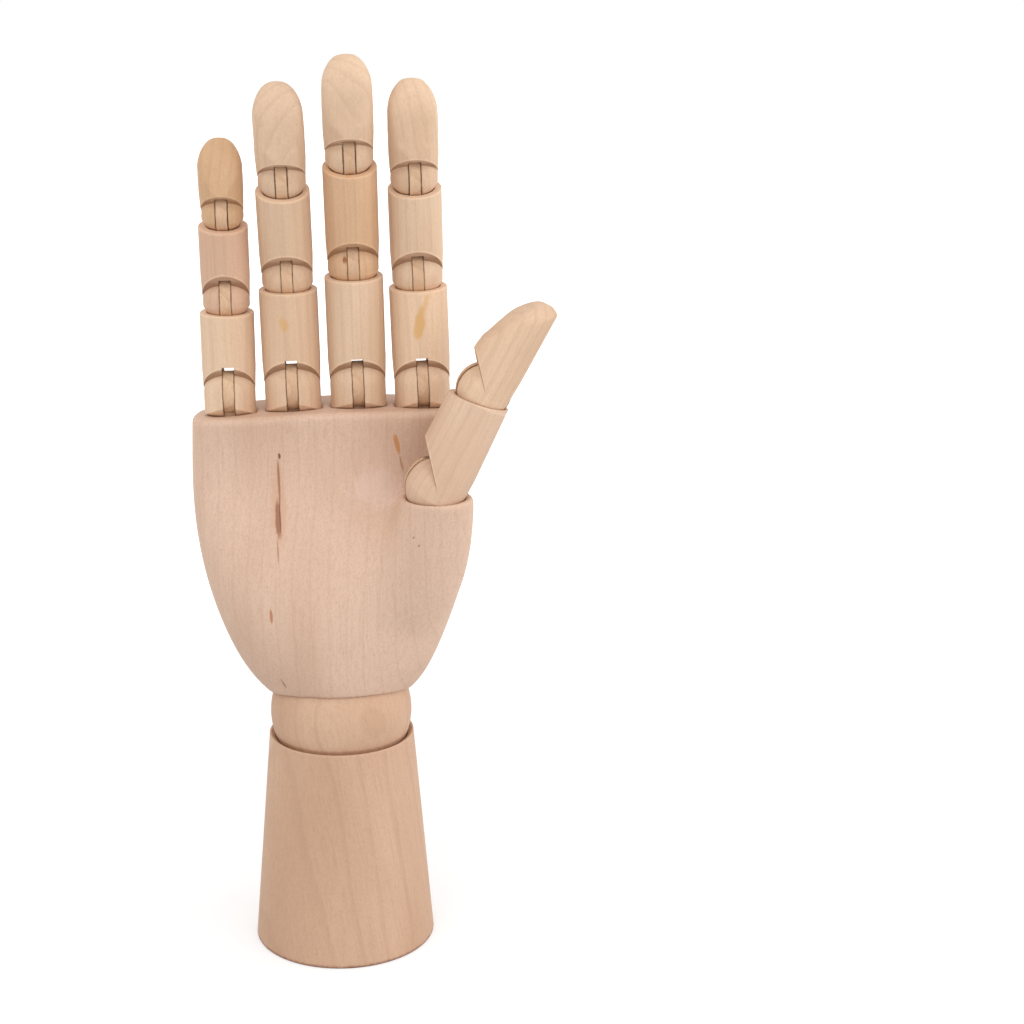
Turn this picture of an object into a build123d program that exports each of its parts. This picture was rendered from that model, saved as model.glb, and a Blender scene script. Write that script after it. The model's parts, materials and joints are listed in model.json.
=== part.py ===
from build123d import *
import math
import os

# Wooden hand mannequin: a jointed right hand on a turned base, palm towards -Y, thumb towards +X

os.makedirs("parts", exist_ok=True)

# Base cone, millimetres
base_diameter = 51.0
base_top_diameter = 40.4
base_height = 61.5
mouth_chamfer = 0.8
base_edge_radius = 0.5

# Wrist ball and its cups
ball_diameter = 39.4
ball_rise = 6.3
cup_gap = 0.3

# Spring that pulls base, ball and palm together
spring_diameter = 9.0
spring_wire = 1.4
spring_bore = 12.0
spring_reach = 40.0
counterbore_diameter = 26.0
counterbore_depth = 11.0
crossbar_diameter = 3.0
crossbar_length = 22.0
anchor_pin_diameter = 2.6
anchor_pin_sink = 1.0
anchor_pin_bite = 6.0
loop_gap = 0.2
bar_gap = 0.1

# Palm block, heights above the ball's centre
palm_height = 87.4
palm_crown_radius = 400.0
palm_crown_x = 10.0
palm_edge_radius = 1.8
# Each row: level, reach to the left, right, front and back, and squareness of the outline
wrist_row = [3.6, 15.5, 15.5, 14.0, 14.0, 1.8]
heel_row = [10.0, 23.2, 22.7, 18.2, 18.2, 1.8]
pad_row = [22.5, 30.2, 29.0, 20.2, 19.4, 2.3]
belly_row = [39.8, 35.8, 34.9, 19.8, 18.4, 2.6]
waist_row = [54.2, 38.3, 36.6, 14.8, 16.8, 2.8]
bridge_row = [66.2, 38.9, 35.4, 10.1, 15.0, 3.0]
upper_row = [78.2, 38.6, 34.2, 9.6, 14.2, 3.2]
crown_row = [92.0, 38.2, 33.4, 9.3, 13.8, 3.6]

# Hinges shared by all digits. The fingers' first knuckles reach deeper by root_sink, into the palm
tongue_thickness = 3.0
tongue_tail_width = 6.4
tongue_tail_length = 6.0
tongue_side_gap = 0.05
tongue_glue_gap = 0.04
# Top of a tongue above its hinge, as a share of the knuckle's radius, and its slope down to the back
root_tongue_top = 0.65
joint_tongue_top = 0.8
tongue_top_slope = 15.0
slot_headroom = 0.4
pin_diameter = 2.0
pin_running_gap = 0.05
pin_skin = 1.2
pin_sink = 0.4
knuckle_inset = 0.25
knuckle_taper = 6.0
knuckle_step = 0.03
knuckle_shoulder = 0.34
root_shoulder = 0.8
root_sink = 1.0
finger_seat = 6.8
joint_seat = 4.0
rim_chamfer = 0.15
tip_slope = 15.0
tip_side_rounding = 7.0
tip_crown = 5.6
tip_facet = 1.9
tip_apex = 1.6
tip_back_drop = 1.1
tip_back_inset = 2.2

# Finger dowels
proximal_diameter = 15.5
middle_diameter = 14.0
distal_diameter = 12.9
little_proximal_diameter = 14.3
little_middle_diameter = 12.9
little_distal_diameter = 11.5

# Finger lengths from hinge to hinge, and from the last hinge to the tip
middle_lengths = [32.8, 31.6, 26.0]
ring_lengths = [29.7, 28.7, 25.6]
index_lengths = [29.8, 28.1, 25.5]
little_lengths = [24.9, 23.9, 19.3]

# Angle of the closing notch to the dowel's axis, at each hinge
finger_notches = [46.0, 38.5, 39.5]
thumb_notches = [38.0, 41.0]

# Finger places across the palm, sideways lean, and bend at each hinge in the rest pose
little_x, little_lean, little_bend = -28.1, 0.0, [3.0, 10.0, 9.0]
ring_x, ring_lean, ring_bend = -11.3, -1.2, [3.5, 18.0, 8.0]
middle_x, middle_lean, middle_bend = 6.2, -1.3, [6.0, 15.0, 8.0]
index_x, index_lean, index_bend = 23.5, -2.1, [4.5, 13.5, 9.0]

# Thumb and the root that carries it
thumb_x = 26.1
thumb_y = -19.5
thumb_drop = 18.2
thumb_seat = 3.1
thumb_tip_seat = 3.0
thumb_lean = 26.2
thumb_tip_lean = 28.5
thumb_proximal_length = 28.7
thumb_distal_length = 27.6
thumb_diameter = 17.2
thumb_top_diameter = 16.2
thumb_rim_tilt = 8.0
thumb_distal_diameter = 15.2
root_wall = 1.15
root_offset = 0.4
root_steps = [(11.0, 1.8, 4.0, 11.7), (24.0, 5.5, 9.0, 13.6), (42.0, 12.0, 15.0, 12.5)]

ball_radius = ball_diameter / 2
ball_z = base_height + ball_rise
palm_top = ball_z + palm_height
thumb_z = palm_top - thumb_drop
cup_radius = ball_radius + cup_gap
pin_radius = pin_diameter / 2
slot_width = tongue_thickness + 2 * tongue_side_gap


def front_of(frame):
    """Sketch plane with the frame's x across and its z up."""
    return Plane(origin=frame.origin, x_dir=frame.x_dir, z_dir=-frame.y_dir)


def side_of(frame):
    """Sketch plane with the frame's y across and its z up."""
    return Plane(origin=frame.origin, x_dir=frame.y_dir, z_dir=frame.x_dir)


def bent(frame, degrees):
    """The frame turned about its own x, towards the side that the digit closes to."""
    turn = math.radians(degrees)
    up = frame.z_dir * math.cos(turn) - frame.y_dir * math.sin(turn)
    return Plane(origin=frame.origin, x_dir=frame.x_dir, z_dir=up)


def barrel(frame, radius, half_width, crown):
    """Drum about the hinge axis with a crowned side, the shape a knuckle turns in."""
    end = radius - crown + math.sqrt(crown ** 2 - half_width ** 2)
    with BuildPart() as drum:
        with BuildSketch(front_of(frame)):
            with BuildLine():
                Polyline((half_width, end), (half_width, 0), (-half_width, 0), (-half_width, end))
                ThreePointArc((-half_width, end), (0, radius), (half_width, end))
            make_face()
        revolve(axis=Axis(frame.origin, frame.x_dir))
    return drum.part


def crown_of(radius, shoulder):
    """Radius of the arc across a knuckle that leaves the given share of its height at the sides."""
    fall = radius * (1 - shoulder)
    return (radius ** 2 + fall ** 2) / (2 * fall)


def knuckle(frame, radius, foot_radius, shoulder):
    """Dowel end rounded about the hinge axis below it, with a ball-shaped dome above it."""
    drum = barrel(frame, foot_radius, radius + cup_gap, crown_of(foot_radius, shoulder))
    with BuildPart() as end:
        with BuildSketch(frame.offset(-2 * radius)):
            Circle(radius - knuckle_step)
        extrude(amount=2 * radius)
        add(drum, mode=Mode.INTERSECT)
        with Locations(frame):
            Sphere(radius - 2 * knuckle_step)
    return end.part


def seat_cutter(seat, knuckle_radius, foot_radius, shoulder):
    """Cup for the knuckle above a hinge, with the mortise for its tongue."""
    crown = crown_of(foot_radius, shoulder) + cup_gap
    cup = barrel(seat, foot_radius + cup_gap, knuckle_radius + cup_gap, crown)
    depth = knuckle_radius + tongue_tail_length + tongue_glue_gap
    with BuildPart() as cutter:
        add(cup)
        with BuildSketch(seat.offset(-depth)):
            Rectangle(tongue_thickness + 2 * tongue_glue_gap, tongue_tail_width + 2 * tongue_glue_gap)
        extrude(amount=depth)
    return cutter.part


def fork_cutter(frame, knuckle_radius, foot_radius):
    """Slot for the tongue below a hinge, with the hole for the hinge pin."""
    top = knuckle_radius + slot_headroom
    with BuildPart() as cutter:
        with BuildSketch(side_of(frame)):
            with Locations((0, (top - foot_radius) / 2)):
                Rectangle(4 * knuckle_radius, top + foot_radius)
        extrude(amount=slot_width / 2, both=True)
        with BuildSketch(side_of(frame).offset(-2 * knuckle_radius)):
            Circle(pin_radius)
        extrude(amount=3 * knuckle_radius - pin_skin)
    return cutter.part


def dowel(frame, radius, top_radius, top):
    """Turned body above the hinge, drawn in a little towards its knuckle."""
    with BuildPart() as body:
        with BuildSketch(front_of(frame)):
            Polygon(
                (0, 0), (radius - knuckle_inset, 0), (radius, knuckle_taper), (top_radius, top), (0, top),
                align=None,
            )
        revolve(axis=Axis(frame.origin, frame.z_dir))
    return body.part


def notch_cutter(frame, radius, notch_angle):
    """Wedge cut from the closing side, down to the hinge, that lets the joint bend."""
    far = 2 * radius
    with BuildPart() as cutter:
        with BuildSketch(side_of(frame)):
            Polygon((0, 0), (-far, far / math.tan(math.radians(notch_angle))), (-far, 0), align=None)
        extrude(amount=far, both=True)
    return cutter.part


def rim_cutter(frame, radius, top, rim_tilt):
    """All that lies above a rim, which may slant down towards the closing side."""
    far = 2 * radius
    rise = far * math.tan(math.radians(rim_tilt))
    with BuildPart() as cutter:
        with BuildSketch(side_of(frame)):
            Polygon(
                (-far, top - rise), (far, top + rise), (far, top + 2 * far), (-far, top + 2 * far),
                align=None,
            )
        extrude(amount=far, both=True)
    return cutter.part


def phalanx(
    name, frame, radius, top_radius, length, sink, shoulder, notch_angle, rim_tilt, next_seat, next_radius,
):
    """Phalanx between two hinges: forked knuckle below, cup and mortise above."""
    knuckle_radius = radius - knuckle_inset
    next_knuckle = next_radius - knuckle_inset
    body = dowel(frame, radius, top_radius, length)
    notch = notch_cutter(frame, radius, notch_angle)
    waste = rim_cutter(frame, radius, length - next_seat, rim_tilt)
    end = knuckle(frame, knuckle_radius, knuckle_radius + sink, shoulder)
    fork = fork_cutter(frame, knuckle_radius, knuckle_radius + sink)
    cup = seat_cutter(frame.offset(length), next_knuckle, next_knuckle, knuckle_shoulder)
    with BuildPart() as bone:
        add(body)
        add(waste, mode=Mode.SUBTRACT)
        rim = bone.faces().sort_by(Axis(frame.origin, frame.z_dir))[-1].edges()
        chamfer(rim, length=rim_chamfer)
        add(notch, mode=Mode.SUBTRACT)
        add(end)
        add(fork, mode=Mode.SUBTRACT)
        add(cup, mode=Mode.SUBTRACT)
    bone.part.label = name
    export_step(bone.part, f"parts/{name}.step")


def outline(left, right, front, back, square):
    """Points of a closed outline that reaches so far each way: an ellipse, or squarer than one."""
    points = []
    steps = 16
    for i in range(steps):
        angle = 2 * math.pi * i / steps
        across, deep = math.cos(angle), math.sin(angle)
        x = math.copysign(abs(across) ** (2 / square), across)
        y = math.copysign(abs(deep) ** (2 / square), deep)
        points.append((x * (right if x > 0 else left), y * (back if y > 0 else front)))
    return points


def fingertip(name, frame, radius, length, shoulder, notch_angle):
    """Last phalanx: forked knuckle below, pad sloped in facets to a blunt tip above."""
    knuckle_radius = radius - knuckle_inset
    notch_z = radius / math.tan(math.radians(notch_angle))
    side_z = length - tip_side_rounding
    pad_z = length - tip_crown
    pad_y = (pad_z - notch_z) * math.tan(math.radians(tip_slope)) - radius
    far = 2 * radius
    body = dowel(frame, radius, radius, length)
    notch = notch_cutter(frame, radius, notch_angle)
    end = knuckle(frame, knuckle_radius, knuckle_radius, shoulder)
    fork = fork_cutter(frame, knuckle_radius, knuckle_radius)
    with BuildPart() as bone:
        add(body)
        with BuildSketch(front_of(frame)):
            with BuildLine():
                Polyline((-radius, side_z), (-radius, 0), (radius, 0), (radius, side_z))
                EllipticalCenterArc((0, side_z), radius, tip_side_rounding, start_angle=0, arc_size=180)
            make_face()
        extrude(amount=far, both=True, mode=Mode.INTERSECT)
        with BuildSketch(side_of(frame)):
            Polygon(
                (-radius, notch_z), (pad_y, pad_z), ((pad_y + tip_apex) / 2, length - tip_facet),
                (tip_apex, length), (radius - tip_back_inset, length), (radius, length - tip_back_drop),
                (far, length - tip_back_drop), (far, length + far), (-far, length + far), (-far, notch_z),
                align=None,
            )
        extrude(amount=far, both=True, mode=Mode.SUBTRACT)
        add(notch, mode=Mode.SUBTRACT)
        add(end)
        add(fork, mode=Mode.SUBTRACT)
    bone.part.label = name
    export_step(bone.part, f"parts/{name}.step")


def tongue(name, seat, knuckle_radius, top_share):
    """Flat strip with a round head and a slanted top, glued into the piece below the hinge."""
    tail = knuckle_radius + tongue_tail_length
    far = 2 * knuckle_radius
    top = top_share * knuckle_radius
    fall = far * math.tan(math.radians(tongue_top_slope))
    with BuildPart() as strip:
        with BuildSketch(side_of(seat)):
            Circle(knuckle_radius)
            with Locations((0, -tail / 2)):
                Rectangle(tongue_tail_width, tail)
            Polygon(
                (-far, top + fall), (far, top - fall), (far, 2 * far), (-far, 2 * far),
                align=None, mode=Mode.SUBTRACT,
            )
            Circle(pin_radius + pin_running_gap, mode=Mode.SUBTRACT)
        extrude(amount=tongue_thickness / 2, both=True)
    strip.part.label = name
    export_step(strip.part, f"parts/{name}.step")


def hinge_pin(name, frame, knuckle_radius):
    """Steel pin through the fork and the tongue, sunk below the wood at its open end."""
    with BuildPart() as pin:
        with BuildSketch(side_of(frame).offset(pin_sink - knuckle_radius)):
            Circle(pin_radius)
        extrude(amount=2 * knuckle_radius - pin_skin - pin_sink)
    pin.part.label = name
    export_step(pin.part, f"parts/{name}.step")


def finger_root(x, lean):
    """Frame of a finger's first hinge, upright but for its sideways lean."""
    z = palm_top - (x - palm_crown_x) ** 2 / (2 * palm_crown_radius) + finger_seat
    tilt = math.radians(lean)
    across = (math.cos(tilt), 0, -math.sin(tilt))
    up = (math.sin(tilt), 0, math.cos(tilt))
    return Plane(origin=(x, 0, z), x_dir=across, z_dir=up)


def chain(root, lengths, bends):
    """For each hinge, the frame of the piece below (seat) and that of the piece above (bent)."""
    joints = []
    seat = root
    for length, bend in zip(lengths, bends):
        frame = bent(seat, bend)
        joints.append((seat, frame))
        seat = frame.offset(length)
    return joints


def thumb_root():
    """Frame of the thumb's first hinge: its axis runs front to back and it closes to the fingers."""
    return Plane(origin=(thumb_x, thumb_y, thumb_z), x_dir=(0, -1, 0), z_dir=(0, 0, 1))


three_dowels = [proximal_diameter / 2, middle_diameter / 2, distal_diameter / 2]
little_dowels = [little_proximal_diameter / 2, little_middle_diameter / 2, little_distal_diameter / 2]
thumb_radius = thumb_diameter / 2
thumb_dowels = [thumb_radius, thumb_distal_diameter / 2]
thumb_lengths = [thumb_proximal_length, thumb_distal_length]
thumb_bends = [-thumb_lean, thumb_lean - thumb_tip_lean]

# Each digit: name, hinge frames, lengths, dowel radii
little_joints = chain(finger_root(little_x, little_lean), little_lengths, little_bend)
ring_joints = chain(finger_root(ring_x, ring_lean), ring_lengths, ring_bend)
middle_joints = chain(finger_root(middle_x, middle_lean), middle_lengths, middle_bend)
index_joints = chain(finger_root(index_x, index_lean), index_lengths, index_bend)
fingers = [
    ("little_finger", little_joints, little_lengths, little_dowels),
    ("ring_finger", ring_joints, ring_lengths, three_dowels),
    ("middle_finger", middle_joints, middle_lengths, three_dowels),
    ("index_finger", index_joints, index_lengths, three_dowels),
]
thumb_joints = chain(thumb_root(), thumb_lengths, thumb_bends)


def make_base():
    """Turned cone with the wrist cup on top, the spring's bore and the crossbar's counterbore."""
    mouth = math.sqrt(cup_radius ** 2 - ball_rise ** 2)
    with BuildPart() as base:
        with BuildSketch(Plane.XZ):
            Polygon(
                (0, 0), (base_diameter / 2, 0), (base_top_diameter / 2, base_height), (0, base_height),
                align=None,
            )
        revolve(axis=Axis.Z)
        fillet(base.edges().group_by(Axis.Z)[0], radius=base_edge_radius)
        with Locations((0, 0, ball_z)):
            Sphere(cup_radius, mode=Mode.SUBTRACT)
        lip = [
            edge for edge in base.edges().filter_by(GeomType.CIRCLE)
            if abs(edge.radius - mouth) < cup_gap and edge.center().Z > base_height / 2
        ]
        chamfer(lip, length=mouth_chamfer)
        with BuildSketch(Plane.XY):
            Circle(spring_bore / 2)
        extrude(amount=base_height, mode=Mode.SUBTRACT)
        with BuildSketch(Plane.XY):
            Circle(counterbore_diameter / 2)
        extrude(amount=counterbore_depth, mode=Mode.SUBTRACT)
    base.part.label = "base"
    export_step(base.part, "parts/base.step")


def make_ball():
    """Turned ball with the spring's bore through it."""
    with BuildPart() as wrist_ball:
        with Locations((0, 0, ball_z)):
            Sphere(ball_radius)
        with BuildSketch(Plane.XY.offset(base_height - ball_radius)):
            Circle(spring_bore / 2)
        extrude(amount=3 * ball_radius, mode=Mode.SUBTRACT)
    wrist_ball.part.label = "wrist_ball"
    export_step(wrist_ball.part, "parts/wrist_ball.step")


bar_z = counterbore_depth - bar_gap - crossbar_diameter / 2
anchor_z = ball_z + spring_reach


def make_spring():
    """Closed-coil tension spring, as its outer tube, with a loop eye at each end."""
    low = bar_z - crossbar_diameter
    high = anchor_z + anchor_pin_diameter
    with BuildPart() as tension_spring:
        with BuildSketch(Plane.XY.offset(low)):
            Circle(spring_diameter / 2)
            Circle(spring_diameter / 2 - spring_wire, mode=Mode.SUBTRACT)
        extrude(amount=high - low)
        with BuildSketch(Plane.YZ):
            with Locations((0, bar_z)):
                Circle(crossbar_diameter / 2 + loop_gap)
        extrude(amount=spring_diameter, both=True, mode=Mode.SUBTRACT)
        with BuildSketch(Plane.XZ):
            with Locations((0, anchor_z)):
                Circle(anchor_pin_diameter / 2 + loop_gap)
        extrude(amount=spring_diameter, both=True, mode=Mode.SUBTRACT)
    tension_spring.part.label = "tension_spring"
    export_step(tension_spring.part, "parts/tension_spring.step")


def make_crossbar():
    """Steel bar through the spring's lower loop, under the base's shoulder."""
    with BuildPart() as spring_crossbar:
        with BuildSketch(Plane.YZ):
            with Locations((0, bar_z)):
                Circle(crossbar_diameter / 2)
        extrude(amount=crossbar_length / 2, both=True)
    spring_crossbar.part.label = "spring_crossbar"
    export_step(spring_crossbar.part, "parts/spring_crossbar.step")


palm_rows = [wrist_row, heel_row, pad_row, belly_row, waist_row, bridge_row, upper_row, crown_row]


def make_palm():
    """Carved block: wrist cup below, four finger seats on its crown, thumb seat on its root."""
    ledge = thumb_z - thumb_seat
    span = palm_crown_radius / 2
    drop = span ** 2 / (2 * palm_crown_radius)
    thumb_knuckle = thumb_radius - knuckle_inset
    seats = [seat_cutter(thumb_joints[0][0], thumb_knuckle, thumb_knuckle, knuckle_shoulder)]
    for name, joints, lengths, dowels in fingers:
        root_knuckle = dowels[0] - knuckle_inset
        seats.append(seat_cutter(joints[0][0], root_knuckle, root_knuckle + root_sink, root_shoulder))
    with BuildPart() as palm:
        for level, *reaches in palm_rows:
            with BuildSketch(Plane.XY.offset(ball_z + level)):
                with BuildLine():
                    Spline(outline(*reaches), periodic=True)
                make_face()
        loft()
        with BuildSketch(Plane.XZ):
            with BuildLine():
                ThreePointArc(
                    (palm_crown_x - span, palm_top - drop),
                    (palm_crown_x, palm_top),
                    (palm_crown_x + span, palm_top - drop),
                )
                Polyline(
                    (palm_crown_x + span, palm_top - drop),
                    (palm_crown_x + span, palm_top + palm_height),
                    (palm_crown_x - span, palm_top + palm_height),
                    (palm_crown_x - span, palm_top - drop),
                )
            make_face()
        extrude(amount=palm_height, both=True, mode=Mode.SUBTRACT)
        fillet(palm.faces().sort_by(Axis.Z)[-1].edges(), radius=palm_edge_radius)
        with BuildSketch(Plane.XY.offset(ledge)):
            with Locations((thumb_x + root_offset, thumb_y)):
                Circle(thumb_radius - knuckle_inset + cup_gap + root_wall)
        for fall, inward, backward, radius in root_steps:
            with BuildSketch(Plane.XY.offset(ledge - fall)):
                with Locations((thumb_x - inward, thumb_y + backward)):
                    Circle(radius)
        loft()
        with Locations((0, 0, ball_z)):
            Sphere(cup_radius, mode=Mode.SUBTRACT)
        with BuildSketch(Plane.XY.offset(ball_z)):
            Circle(spring_bore / 2)
        extrude(amount=spring_reach + spring_bore / 2, mode=Mode.SUBTRACT)
        with BuildSketch(Plane.XZ.offset(spring_bore / 2 + anchor_pin_bite)):
            with Locations((0, anchor_z)):
                Circle(anchor_pin_diameter / 2)
        extrude(amount=-palm_height, mode=Mode.SUBTRACT)
        add(seats, mode=Mode.SUBTRACT)
    palm.part.label = "palm"
    export_step(palm.part, "parts/palm.step")


def make_anchor_pin():
    """Steel pin across the palm's bore, driven in from the back of the hand."""
    start = -(spring_bore / 2 + anchor_pin_bite)
    end = belly_row[4] - anchor_pin_sink
    with BuildPart() as spring_anchor_pin:
        with BuildSketch(Plane.XZ.offset(-start)):
            with Locations((0, anchor_z)):
                Circle(anchor_pin_diameter / 2)
        extrude(amount=start - end)
    spring_anchor_pin.part.label = "spring_anchor_pin"
    export_step(spring_anchor_pin.part, "parts/spring_anchor_pin.step")


bone_names = ["proximal", "middle", "distal"]


def make_finger(name, joints, lengths, dowels):
    """Three phalanges of one finger, with a tongue and a pin at each hinge."""
    shoulders = [root_shoulder, knuckle_shoulder, knuckle_shoulder]
    sinks = [root_sink, 0, 0]
    for i, (seat, frame) in enumerate(joints):
        bone = f"{name}_{bone_names[i]}"
        if i < len(joints) - 1:
            phalanx(
                bone, frame, dowels[i], dowels[i], lengths[i], sinks[i], shoulders[i], finger_notches[i], 0,
                joint_seat, dowels[i + 1],
            )
        else:
            fingertip(bone, frame, dowels[i], lengths[i], shoulders[i], finger_notches[i])
        top_share = joint_tongue_top if i else root_tongue_top
        tongue(f"{bone}_tongue", seat, dowels[i] - knuckle_inset, top_share)
        hinge_pin(f"{bone}_pin", frame, dowels[i] - knuckle_inset)


def make_thumb():
    """Two phalanges of the thumb, with a tongue and a pin at each hinge."""
    (root_seat, root_frame), (tip_seat, tip_frame) = thumb_joints
    phalanx(
        "thumb_proximal", root_frame, thumb_radius, thumb_top_diameter / 2, thumb_proximal_length, 0,
        knuckle_shoulder, thumb_notches[0], thumb_rim_tilt, thumb_tip_seat, thumb_dowels[1],
    )
    fingertip(
        "thumb_distal", tip_frame, thumb_dowels[1], thumb_distal_length, knuckle_shoulder, thumb_notches[1],
    )
    for bone, (seat, frame), radius in zip(["proximal", "distal"], thumb_joints, thumb_dowels):
        tongue(f"thumb_{bone}_tongue", seat, radius - knuckle_inset, joint_tongue_top)
        hinge_pin(f"thumb_{bone}_pin", frame, radius - knuckle_inset)


make_base()
make_ball()
make_spring()
make_crossbar()
make_palm()
make_anchor_pin()
for finger in fingers:
    make_finger(*finger)
make_thumb()
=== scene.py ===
import json
import math

import bpy
import numpy as np
from mathutils import Matrix, Vector


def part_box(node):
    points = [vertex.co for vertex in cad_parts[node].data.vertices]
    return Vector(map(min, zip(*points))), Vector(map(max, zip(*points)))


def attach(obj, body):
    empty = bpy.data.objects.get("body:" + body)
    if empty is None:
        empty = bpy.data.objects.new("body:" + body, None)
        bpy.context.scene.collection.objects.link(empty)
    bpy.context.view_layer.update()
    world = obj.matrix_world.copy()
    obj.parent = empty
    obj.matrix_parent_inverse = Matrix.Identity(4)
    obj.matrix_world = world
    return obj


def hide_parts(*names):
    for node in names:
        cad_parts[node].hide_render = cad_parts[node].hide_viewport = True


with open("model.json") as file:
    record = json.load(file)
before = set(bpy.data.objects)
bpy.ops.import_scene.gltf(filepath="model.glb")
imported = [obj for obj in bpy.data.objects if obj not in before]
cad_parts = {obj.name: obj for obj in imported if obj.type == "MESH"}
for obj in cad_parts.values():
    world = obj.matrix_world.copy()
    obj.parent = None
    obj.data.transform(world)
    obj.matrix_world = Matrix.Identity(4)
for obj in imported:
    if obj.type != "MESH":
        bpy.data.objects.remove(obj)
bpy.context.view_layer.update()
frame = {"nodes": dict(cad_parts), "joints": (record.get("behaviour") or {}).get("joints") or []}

bl_info = {
    "name": "Wooden Hand Mannequin",
    "version": (1, 0, 0),
    "blender": (4, 5, 0),
    "location": "View3D > Sidebar > Hand",
    "description": "Dresses the packed parts of a jointed wooden hand",
    "category": "Object",
}

MM = 0.001
BACK = Vector((0, 1, 0))

# How far each finger bone leans forward from the one below it, in degrees
BENDS = {
    "little_finger": (3, 10, 9),
    "ring_finger": (3.5, 18, 8),
    "middle_finger": (6, 15, 8),
    "index_finger": (4.5, 13.5, 9),
}
BONES = ("proximal", "middle", "distal")
HINGES = ("base", "middle", "tip")
THUMB_TIP_LEAN = 28.5
# Angle of each closing notch to its bone, in degrees, and how far a rim lies below the next hinge
NOTCHES = (46.0, 38.5, 39.5)
THUMB_NOTCHES = (38.0, 41.0)
RIM_DROP = 4.0
THUMB_RIM_DROP = 3.0
# Half widths of a tongue and of the slot that it turns in. These and the sizes below are in millimetres
HALF_TONGUE = 1.5
HALF_SLOT = 1.56
# How far a pin's half length falls short of its knuckle's radius, and of its slot's top
PIN_SHORT = 0.8
SLOT_ABOVE_PIN = 1.2

# Spring: rise of a turn in wire diameters, points in a turn, and the arcs of its end loops in degrees a step
COIL_PITCH = 1.03
COIL_SIDES = 24
LOOP_STEP = 15
LOW_LOOP_STEPS = 18
HIGH_LOOP_STEPS = 16

# Levels above the hinge where the sanding of the fingertips and of the thumb tip starts
TIP_FOOT = 10.5
THUMB_TIP_FOOT = 12.5
# How softly that sanding sets in, and the belt above its start whose width is kept
TIP_EASE = 2.5
TIP_BELT = (3, 6)
# Depths between which the thumb tip's back turns crisp, and the share of the sanding that is kept off it
CRISP_BACK = (-1, 4)
CRISP_SHARE = 0.95
# Points of a slot's walls are set straight from so far inside the tongue's face, and up to so far below
# the slot's top
WALL_REACH = 0.4
WALL_TOP = 0.3

# Where the thumb's root is blended into the palm, each from untouched to fully sanded: distance from the
# thumb's hinge near it and far from it, height above the floor, and place between front and back
ROOT_NEAR = (9.6, 11.5)
ROOT_FAR = (64, 48)
ROOT_TOP = (152, 146)
ROOT_BACK = (6, 0)
ROOT_PASSES = 4
# Where the palm's lip is sanded: distance from the ball's skin, and height above the ball's middle
LIP_REACH = (1.6, 0.8)
LIP_TOP = (14, 11)

# Slant of the grain in the base and in the ball, in degrees
BASE_SLANT = -9
BALL_SLANT = -12
# Each bone's pith line: its turn round the bone, its distance and its shift along the grain from bone to bone
PITH_TURN = 2.4
PITH_REACH = 22
PITH_SHIFT = 40.0
# How the bones' brightness and warmth change from bone to bone: by how much, and in what rhythm
BRIGHT_SWAY = (0.018, 1.7)
WARM_SWAY = (0.012, 2.9)

# Share of the thumb tip's depth shaved off its pad, at levels above its hinge
THUMB_PAD = ((8.7, 0.0), (15.0, 0.0), (21.0, 0.08), (25.0, 0.14), (28.0, 0.0))

JOINTS = {joint["name"]: joint for joint in frame["joints"]}


def screen(red, green, blue):
    """Screen colour, 0 to 255, as the linear colour that a shader takes."""
    def linear(value):
        value /= 255
        return value / 12.92 if value <= 0.04045 else ((value + 0.055) / 1.055) ** 2.4
    return (linear(red), linear(green), linear(blue), 1.0)


def frame_of(origin, across, along):
    """Matrix of a bone: X along its hinge, Z along its length."""
    across = Vector(across).normalized()
    along = (along - across * along.dot(across)).normalized()
    deep = along.cross(across)
    turned = Matrix((across, deep, along)).transposed()
    return Matrix.Translation(origin) @ turned.to_4x4()


def bone_frames():
    """Rest frame of each finger bone and thumb bone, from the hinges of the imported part."""
    frames = {}
    for finger, bends in BENDS.items():
        total = 0
        for bone, hinge, bend in zip(BONES, HINGES, bends):
            joint = JOINTS[f"{finger}_{hinge}_hinge"]
            across = Vector(joint["axis"])
            total += bend
            along = Matrix.Rotation(math.radians(total), 3, across) @ across.cross(BACK)
            frames[f"{finger}_{bone}"] = frame_of(Vector(joint["pos_m"]), across, along)
    low = Vector(JOINTS["thumb_base_hinge"]["pos_m"])
    high = Vector(JOINTS["thumb_tip_hinge"]["pos_m"])
    lean = math.radians(THUMB_TIP_LEAN)
    tip_along = Vector((math.sin(lean), 0, math.cos(lean)))
    frames["thumb_proximal"] = frame_of(low, -BACK, high - low)
    frames["thumb_distal"] = frame_of(high, -BACK, tip_along)
    return frames


BONE_FRAMES = bone_frames()


def bone_cuts(bone):
    """Notch angle of a bone, half length of its pin, and level of its rim above its hinge, in millimetres."""
    digit, _, part = bone.rpartition("_")
    bones = ("proximal", "distal") if digit == "thumb" else BONES
    angles = THUMB_NOTCHES if digit == "thumb" else NOTCHES
    place = bones.index(part)
    low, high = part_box(f"{bone}_pin")
    half_pin = max(high.x - low.x, high.y - low.y) / 2 / MM
    if part == "distal":
        return angles[place], half_pin, None
    here = BONE_FRAMES[bone].to_translation()
    above = BONE_FRAMES[f"{digit}_{bones[place + 1]}"].to_translation()
    drop = THUMB_RIM_DROP if digit == "thumb" else RIM_DROP
    return angles[place], half_pin, (above - here).length / MM - drop


PLAIN_FRAME = Matrix.Identity(4)


# Settings that a user would change

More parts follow.
